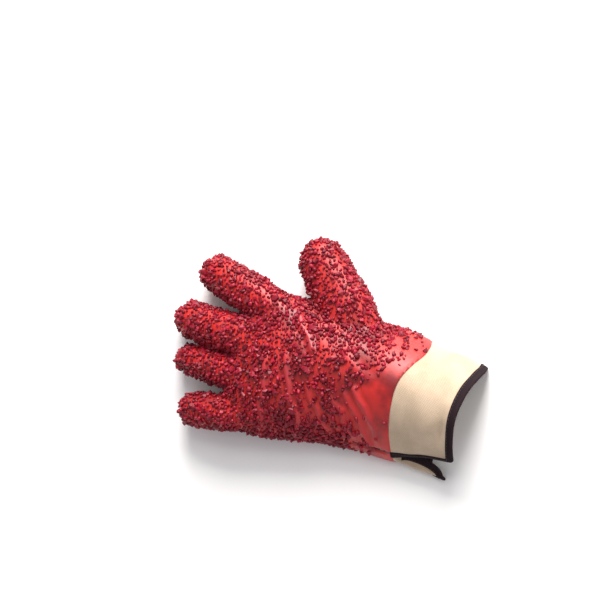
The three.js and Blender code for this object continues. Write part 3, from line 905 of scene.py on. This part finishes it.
points, faces = sheet_of(outside, inside)
threads = np.zeros_like(outside)
threads[..., 0] = outside[..., 0]
threads[..., 1] = lengths_along(outside[-1])
cuff = make_piece("canvas_cuff", points, faces, threads=np.tile(threads.reshape(-1, 3), (2, 1)) * MM)
welded = bmesh.new()
welded.from_mesh(cuff.data)
bmesh.ops.remove_doubles(welded, verts=welded.verts, dist=SAME_PLACE)
bmesh.ops.recalc_face_normals(welded, faces=welded.faces)
welded.to_mesh(cuff.data)
print("open edges after welding:", sum(edge.is_boundary for edge in welded.edges))
welded.free()

# %% [markdown]
# ## The tape
#
# The free edge of the canvas is bound with a dark cotton tape, folded over it and sewn through: a U in
# cross-section that follows one edge of the slit, the hem and the other edge. A curve with a bevel would
# twist at the corners, so the U is drawn at each step from the same skin as the canvas, square on it.

# %% The line of the edge, at a distance in from it
TAPE_STARTS = (108, 116)
SLIT_STEPS = 40
CORNER_STEPS = 12


def edge_lines(insets):
    """Places and angles along the cuff's free edge, moved in from it by each of the insets."""
    insets = np.array(insets, float)[:, None]

    def side_lines(side):
        corner = corner_hems[side] - CORNER
        turn = np.linspace(0, math.pi / 2, CORNER_STEPS)
        turn_radius = CORNER - insets
        straight = np.linspace(TAPE_STARTS[side], corner, SLIT_STEPS, endpoint=False)
        x = np.hstack([straight + 0 * insets, corner + turn_radius * np.sin(turn)])
        away = np.hstack([insets + 0 * straight, CORNER - turn_radius * np.cos(turn)])
        return np.stack([x, in_from_edge(x, side, away)], -1)

    hem_x = hem_at(hem_degrees) - insets
    hem_lines = np.stack([hem_x, along_slit(hem_x, hem_degrees)], -1)
    return np.concatenate([side_lines(BACK), hem_lines, side_lines(PALM)[:, ::-1]], axis=1)


print(edge_lines([0.0]).shape[1], "steps along the edge")

# %% The tape's cross-section, swept along the edge
TAPE_PROFILE = [
    # inset from the canvas's edge, offset from its skin: round the outside of the U, then back inside
    (6.2, 0.45), (6.0, 0.82), (5.3, 0.86), (4.2, 0.80), (3.0, 0.88), (1.8, 0.94), (0.7, 0.94), (0.0, 0.76),
    (-0.50, 0.32), (-0.78, -0.25), (-0.85, -0.65), (-0.78, -1.05), (-0.50, -1.62), (0.0, -2.06),
    (0.7, -2.24), (1.8, -2.24), (3.0, -2.18), (4.2, -2.10), (5.3, -2.16), (6.0, -2.12), (6.2, -1.75),
    (6.1, -1.38), (3.0, -1.38), (0.2, -1.38), (-0.08, -1.2), (-0.08, -0.1), (0.2, 0.08), (3.0, 0.08),
    (6.1, 0.08),
]
FOLD_COLUMN = 9
TAPE_LOWEST = 0.05


def swept(profile):
    """The points of a profile at every step along the edge: profile first, then steps."""
    insets, offsets = np.array(profile).T
    lines = edge_lines(insets)
    return cuff_skin(lines[..., 0], lines[..., 1], offsets[:, None])


tape_grid = swept(TAPE_PROFILE).transpose(1, 0, 2)
steps, ring = tape_grid.shape[:2]
index = np.arange(steps * ring).reshape(steps, ring)
tape_faces = tube_faces(index).tolist() + [index[0].tolist(), index[-1, ::-1].tolist()]
length = lengths_along(tape_grid[:, FOLD_COLUMN])
tape_marks = np.zeros_like(tape_grid)
tape_marks[..., 0] = length[:, None]
tape_marks[..., 1] = [inset for inset, _ in TAPE_PROFILE]
tape_points = above_table(tape_grid.reshape(-1, 3), TAPE_LOWEST)
tape = make_piece("binding_tape", tape_points, tape_faces, threads=tape_marks.reshape(-1, 3) * MM)
print("the tape is", round(float(length[-1])), "mm long")

# %% [markdown]
# ## Stitches
#
# The tape is sewn through with a lockstitch close to its inner edge. Stitches could be a bump in the tape's
# material, but real ones stand proud and catch the light, so each is a small rounded lump of thread on the
# same line, on the outside and the inside of the cuff.

# %% Lay the stitches
STITCH_INSET = 4.7
STITCH_PITCH = 3.0
STITCH_LENGTH = 2.2
STITCH_RADIUS = 0.26
# shares of a stitch's length and of its radius, which swells towards its middle
STITCH_RINGS = np.array([(-0.5, 0.15), (-0.4, 0.75), (-0.15, 1.0), (0.15, 1.0), (0.4, 0.75), (0.5, 0.15)])
STITCH_RINGS *= (STITCH_LENGTH, STITCH_RADIUS)
STITCH_SIDES = 8
# just proud of the tape's outer and inner face
STITCH_OFFSETS = (0.86, -2.16)
# a direction that no stitch lies along, to turn its rings from
OFF_STITCH = (0.3, 0.2, 0.93)


def stitch_row(offset):
    """The middles of the stitches of one row, and the direction that each lies along."""
    path = swept([(STITCH_INSET, offset)])[0]
    lengths = lengths_along(path)
    middles = np.arange(STITCH_PITCH, lengths[-1] - STITCH_PITCH, STITCH_PITCH)
    place, next_place = (
        np.stack([np.interp(wanted, lengths, column) for column in path.T], -1)
        for wanted in (middles, middles + 1)
    )
    return place, unit(next_place - place)


def stitch_piece(name, middles, along):
    """One mesh of all stitches: each is a closed tube of a few rings round its middle."""
    side = unit(np.cross(along, OFF_STITCH))
    up = np.cross(side, along)
    turns = np.linspace(0, 2 * math.pi, STITCH_SIDES, endpoint=False)[:, None]
    circles = np.cos(turns) * side[:, None] + np.sin(turns) * up[:, None]
    rings = [(middles + along * at)[:, None] + circles * radius for at, radius in STITCH_RINGS]
    points = np.stack(rings, 1)
    index = np.arange(points.size // 3).reshape(points.shape[:-1])
    faces = tube_faces(index).tolist() + index[:, 0].tolist() + index[:, -1, ::-1].tolist()
    return make_piece(name, above_table(points.reshape(-1, 3), LUMP_LOWEST), faces)


rows = [stitch_row(offset) for offset in STITCH_OFFSETS]
stitches = stitch_piece("tape_stitches", *[np.vstack(part) for part in zip(*rows)])

# %% [markdown]
# ## Writing finishes as sums
#
# A material is a graph of nodes, which is hard to read as code. The class below wraps one output of a node,
# so that it can be added and multiplied like a number, and each step adds its Math node. Colours are mixed
# with Mix nodes, because a Math node would turn them grey. One method makes every other node.


# %% A wrapped socket, and a finish
class Value:
    """One output of a shader node, ready for sums."""

    def __init__(self, finish, socket):
        self.finish, self.socket = finish, socket

    def maths(self, operation, *inputs):
        return self.finish.node("ShaderNodeMath", {"operation": operation}, inputs)

    def __add__(self, other):
        return self.maths("ADD", self, other)

    def __sub__(self, other):
        return self.maths("SUBTRACT", self, other)

    def __rsub__(self, other):
        return self.maths("SUBTRACT", other, self)

    def __mul__(self, other):
        return self.maths("MULTIPLY", self, other)

    __radd__, __rmul__ = __add__, __mul__

    def sine(self):
        return self.maths("SINE", self)

    def limited(self):
        return self.finish.node("ShaderNodeClamp", {}, [self])

    def between(self, low, high):
        """0 below low, 1 above high and a smooth step between them."""
        return self.finish.node("ShaderNodeMapRange", {"interpolation_type": "SMOOTHSTEP"}, [self, low, high])


class Finish:
    """A material with one Principled BSDF, built by sums of values."""

    def __init__(self, name, **constants):
        self.material = bpy.data.materials.new(name)
        self.material.use_nodes = True
        self.tree = self.material.node_tree
        self.shader = self.tree.nodes["Principled BSDF"]
        for socket, constant in constants.items():
            self.shader.inputs[socket.replace("_", " ")].default_value = constant

    def node(self, kind, settings, inputs, output=0):
        made = self.tree.nodes.new(kind)
        for setting, value in settings.items():
            setattr(made, setting, value)
        pairs = inputs.items() if isinstance(inputs, dict) else enumerate(inputs)
        for key, value in pairs:
            self.feed(made.inputs[key], value)
        return Value(self, made.outputs[output])

    def feed(self, socket, value):
        if isinstance(value, Value):
            self.tree.links.new(value.socket, socket)
        elif isinstance(value, (tuple, list)) and socket.type == "RGBA":
            socket.default_value = (*value, 1)
        else:
            socket.default_value = value

    def mix(self, share, low, high):
        """A colour between two colours."""
        inputs = {"Factor": share, 6: low, 7: high}
        return self.node("ShaderNodeMix", {"data_type": "RGBA"}, inputs, output=2)

    def mark(self, name, output="Fac"):
        return self.node("ShaderNodeAttribute", {"attribute_name": name}, [], output)

    def place(self):
        return self.node("ShaderNodeTexCoord", {}, [], "Object")

    def noise(self, where, scale, detail=3.0):
        inputs = {"Vector": where, "Scale": scale, "Detail": detail, "Roughness": 0.55}
        return self.node("ShaderNodeTexNoise", {}, inputs)

    def wear(self, **links):
        for socket, value in links.items():
            self.feed(self.shader.inputs[socket.replace("_", " ")], value)

    def bump(self, height, distance, strength):
        inputs = {"Height": height, "Distance": distance, "Strength": strength}
        self.wear(Normal=self.node("ShaderNodeBump", {}, inputs))


print("finishes are written as sums")

# %% [markdown]
# ## Rubber
#
# Dipped PVC rubber is a deep red with a satin skin. In bright light it looks pink, because a wide soft
# highlight lies over the red. A pink colour would stay there when the light moves, so the colour is strong
# and dark and the roughness does the rest. Yet the crests of the folds are painted a little paler, partly
# dust and partly a painted sheen, and the crease from the slit is painted almost black, a painted shade.
# The inside of the wall is the cotton lining.

# %% Rubber finish
RUBBER_DEEP = (0.18, 0.001, 0.004)
RUBBER_RED = (0.50, 0.013, 0.010)
# paler colour for the crests of the folds: partly dust, partly a painted sheen
RUBBER_DUST_AND_SHEEN = (0.42, 0.026, 0.040)
# painted shade: the crease is darkened almost to black
RUBBER_CREASE_SHADE = (0.05, 0.0, 0.002)
LINING_COTTON = (0.46, 0.32, 0.26)

rubber = Finish(
    "rubber_coating", Roughness=0.45, Coat_Weight=0.45, Coat_Roughness=0.45, Specular_IOR_Level=0.35
)
where = rubber.place()
cloudy = rubber.noise(where, 28.0)
fine = rubber.noise(where, 420.0, 2.0)
pimples = rubber.noise(where, 1500.0, 1.0)
red = rubber.mix(cloudy.between(0.3, 0.55), RUBBER_DEEP, RUBBER_RED)
# the crests of the folds are painted paler: partly dust, partly a painted sheen
red = rubber.mix((rubber.mark("crest") * 0.8).limited(), red, RUBBER_DUST_AND_SHEEN)
# painted shade in the crease
red = rubber.mix(rubber.mark("crease").between(0.35, 0.95), red, RUBBER_CREASE_SHADE)
lining = rubber.mark("lining")
rubber.wear(
    Base_Color=rubber.mix(lining, red, LINING_COTTON),
    Roughness=0.40 + 0.14 * cloudy + 0.35 * lining,
)
rubber.bump(fine * 0.7 + pimples * 0.3, 0.0004, 0.5)

# %% [markdown]
# ## Crumb
#
# The grains are the same rubber, ground up: darker and bluer than the skin, and each of a slightly different
# red. The number drawn for each grain is a mark on the mesh, and the finish reads it to choose the colour.

# %% Crumb finish
CRUMB_DARK = (0.09, 0.001, 0.008)
CRUMB_RED = (0.40, 0.006, 0.028)

grit = Finish("crumb_rubber", Roughness=0.45, Coat_Weight=0.15, Coat_Roughness=0.35, Specular_IOR_Level=0.3)
where = grit.place()
tint = grit.mark("tint")
patchy = grit.noise(where, 60.0)
rough = grit.noise(where, 900.0)
share = (0.65 * tint + 0.6 * patchy - 0.15).limited()
grit.wear(
    Base_Color=grit.mix(share, CRUMB_DARK, CRUMB_RED),
    Roughness=0.38 + 0.25 * rough,
)
grit.bump(rough, 0.0005, 0.6)

# %% [markdown]
# ## Canvas
#
# Cotton duck is a plain weave: each thread passes over one and under the next. Two sines across and along
# the cuff give the threads, and their product says which one is on top. They follow marks on the mesh, in
# metres along and round the cuff, so they run with the cloth and not with the room. A picture of cloth would
# do for one size only. Slubs, the thicker bits of cotton thread, come from a fine noise.

# %% Canvas finish
THREAD = 0.0009
CANVAS_CREAM = (0.65, 0.50, 0.36)
CANVAS_SHADE = (0.34, 0.25, 0.16)

canvas = Finish(
    "cotton_canvas", Roughness=0.92, Sheen_Weight=0.25, Sheen_Roughness=0.6, Specular_IOR_Level=0.25
)


def along_and_round(finish):
    """The two distances that are kept on a woven piece, in metres."""
    marked = finish.mark("threads", "Vector")
    parts = finish.node("ShaderNodeSeparateXYZ", {}, [marked]).socket.node.outputs
    return Value(finish, parts["X"]), Value(finish, parts["Y"]), marked


along, round_it, marked = along_and_round(canvas)
thread_turn = math.pi / THREAD
warp = (along * thread_turn).sine()
weft = (round_it * thread_turn).sine()
weave = warp * weft * 0.5 + 0.5
slubs = canvas.noise(marked, 700.0, 2.0)
blotches = canvas.noise(marked, 60.0, 5.0).between(0.3, 0.7)
cream = 0.3 * blotches + 0.3 * weave + 0.4 * slubs
canvas.wear(Base_Color=canvas.mix(cream, CANVAS_SHADE, CANVAS_CREAM))
canvas.bump(weave * 0.6 + slubs * 0.4, 0.0003, 0.7)

# %% [markdown]
# ## Tape and thread
#
# The tape is a dark brown twill, almost black, with fine ribs across it, and a little paler along the fold
# where it has been rubbed. The thread is the same colour but smoother, so the stitches still show.

# %% Tape and thread finishes
TAPE_RIB = 0.0007
TAPE_FOLD = 0.002
TAPE_DARK = (0.010, 0.004, 0.006)
TAPE_RUBBED = (0.026, 0.011, 0.015)
THREAD_DARK = (0.030, 0.015, 0.020, 1)

twill = Finish("dark_twill_tape", Roughness=0.85, Specular_IOR_Level=0.18)
along, inset, marked = along_and_round(twill)
ribs = (along * (2 * math.pi / TAPE_RIB) + inset * (math.pi / TAPE_RIB)).sine() * 0.5 + 0.5
worn = twill.noise(marked, 160.0)
fold = 1 - inset.between(0.0, TAPE_FOLD)
rubbed = 0.4 * ribs + 0.5 * fold * worn
twill.wear(Base_Color=twill.mix(rubbed, TAPE_DARK, TAPE_RUBBED))
twill.bump(ribs, 0.0002, 0.6)

thread = Finish("dark_thread", Base_Color=THREAD_DARK, Roughness=0.6)
twist = thread.noise(thread.place(), 2500.0, 1.0)
thread.wear(Roughness=0.45 + 0.3 * twist)
thread.bump(twist, 0.0001, 0.5)

# %% Floor finish
FLOOR_WHITE = (0.93, 0.93, 0.925, 1)

floor.data.materials.append(Finish("pale_floor", Base_Color=FLOOR_WHITE, Roughness=0.75).material)
print("floor", FLOOR_WHITE[:3])

# %% [markdown]
# ## Dress the solids
#
# Each new surface stands for one solid, which stays in the physics but isn't shown. The crumb goes with the
# coating, and the stitches with the tape. A glove has no joints, so all of it rides on one body.

# %% Dress the solids
DRESS = [
    # piece, finish, the solid that it stands for, the record's material slot
    (hand, rubber, "coated_hand", "rubber_coating"),
    (cuff, canvas, "cuff", "canvas"),
    (tape, twill, "cuff_binding", "binding_tape"),
    (stitches, thread, None, "binding_tape"),
    *[(grains, grit, None, "rubber_coating") for grains in crumb],
]
for piece, finish, node, slot in DRESS:
    piece.data.materials.append(finish.material)
    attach(piece, "root")
    if node:
        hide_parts(node)
print(len(DRESS), "pieces dressed")
